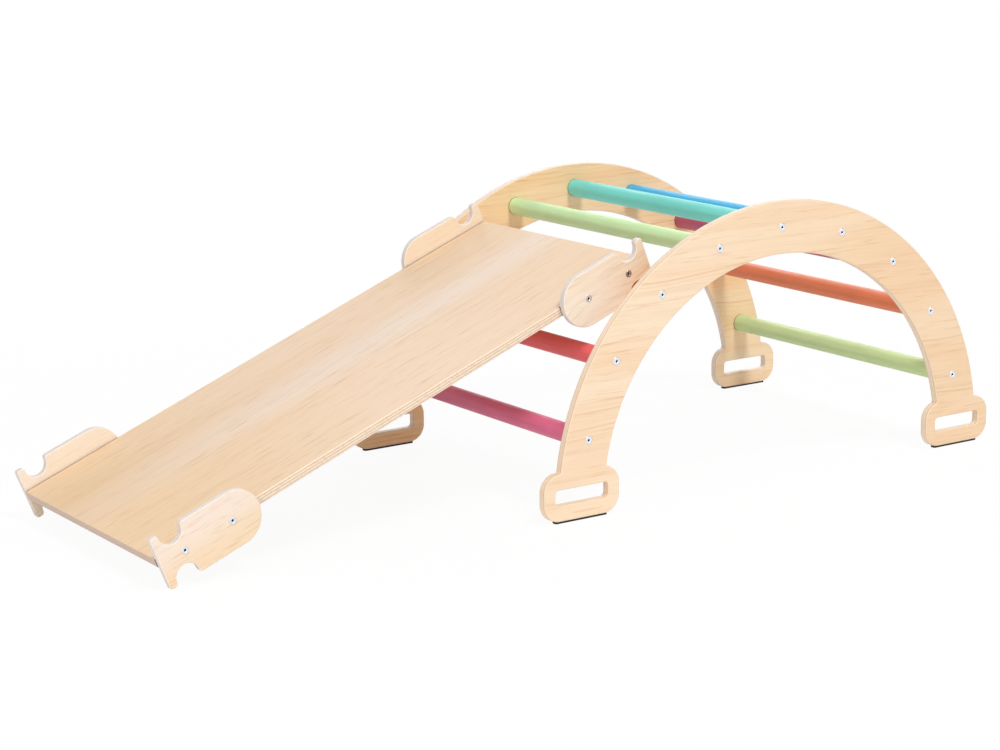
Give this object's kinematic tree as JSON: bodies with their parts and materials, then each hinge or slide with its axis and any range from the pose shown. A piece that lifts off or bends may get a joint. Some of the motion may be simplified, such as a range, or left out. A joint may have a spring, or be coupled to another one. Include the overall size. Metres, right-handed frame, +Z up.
{
  "type": "climbing arch",
  "caption": "Child's indoor climbing arch: half-round plywood sides joined by painted round rungs, with a plywood ramp board that hooks over a rung by the notched brackets on its ends.",
  "frame": {"origin": "on the floor, under the middle of the box round the whole object, arch and ramp", "axes": "+X from the ramp's foot to the arch's far feet, +Y from the front side panel to the back one, +Z up"},
  "size_m": [1.6942, 0.626, 0.495],
  "materials": {
    "panel_wood": "pale birch plywood, thin matt lacquer",
    "board_wood": "pale birch plywood, thin matt lacquer",
    "bracket_wood": "pale birch plywood, thin matt lacquer",
    "rung_pink": "matt paint over turned wood",
    "rung_red": "matt paint over turned wood",
    "rung_orange": "matt paint over turned wood",
    "rung_light_green": "matt paint over turned wood",
    "rung_teal": "matt paint over turned wood",
    "rung_blue": "matt paint over turned wood",
    "rung_plum": "matt paint over turned wood",
    "screw_steel": "bright zinc plated",
    "pad_rubber": "matt black"
  },
  "bodies": {
    "arch": {"side_panel_front": "panel_wood", "side_panel_back": "panel_wood", "rung_1": "rung_pink", "rung_2": "rung_red", "rung_3": "rung_orange", "rung_4": "rung_light_green", "rung_5": "rung_teal", "rung_6": "rung_blue", "rung_7": "rung_plum", "rung_8": "rung_orange", "rung_9": "rung_light_green", "rung_screw_front_1": "screw_steel", "rung_screw_front_2": "screw_steel", "rung_screw_front_3": "screw_steel", "rung_screw_front_4": "screw_steel", "rung_screw_front_5": "screw_steel", "rung_screw_front_6": "screw_steel", "rung_screw_front_7": "screw_steel", "rung_screw_front_8": "screw_steel", "rung_screw_front_9": "screw_steel", "rung_screw_back_1": "screw_steel", "rung_screw_back_2": "screw_steel", "rung_screw_back_3": "screw_steel", "rung_screw_back_4": "screw_steel", "rung_screw_back_5": "screw_steel", "rung_screw_back_6": "screw_steel", "rung_screw_back_7": "screw_steel", "rung_screw_back_8": "screw_steel", "rung_screw_back_9": "screw_steel", "foot_pad_front_ramp_end": "pad_rubber", "foot_pad_front_far_end": "pad_rubber", "foot_pad_back_ramp_end": "pad_rubber", "foot_pad_back_far_end": "pad_rubber"},
    "ramp": {"ramp_board": "board_wood", "ramp_bracket_lower_front": "bracket_wood", "ramp_bracket_lower_back": "bracket_wood", "ramp_bracket_upper_front": "bracket_wood", "ramp_bracket_upper_back": "bracket_wood", "ramp_screw_lower_front_1": "screw_steel", "ramp_screw_lower_front_2": "screw_steel", "ramp_screw_lower_back_1": "screw_steel", "ramp_screw_lower_back_2": "screw_steel", "ramp_screw_upper_front_1": "screw_steel", "ramp_screw_upper_front_2": "screw_steel", "ramp_screw_upper_back_1": "screw_steel", "ramp_screw_upper_back_2": "screw_steel"}
  },
  "joints": [
    {"name": "ramp_tilt", "type": "hinge", "parent": "arch", "child": "ramp", "pos_m": [0.08279, 0, 0.36106], "axis": [0, 1, 0], "range_deg": [0, 45]}
  ]
}
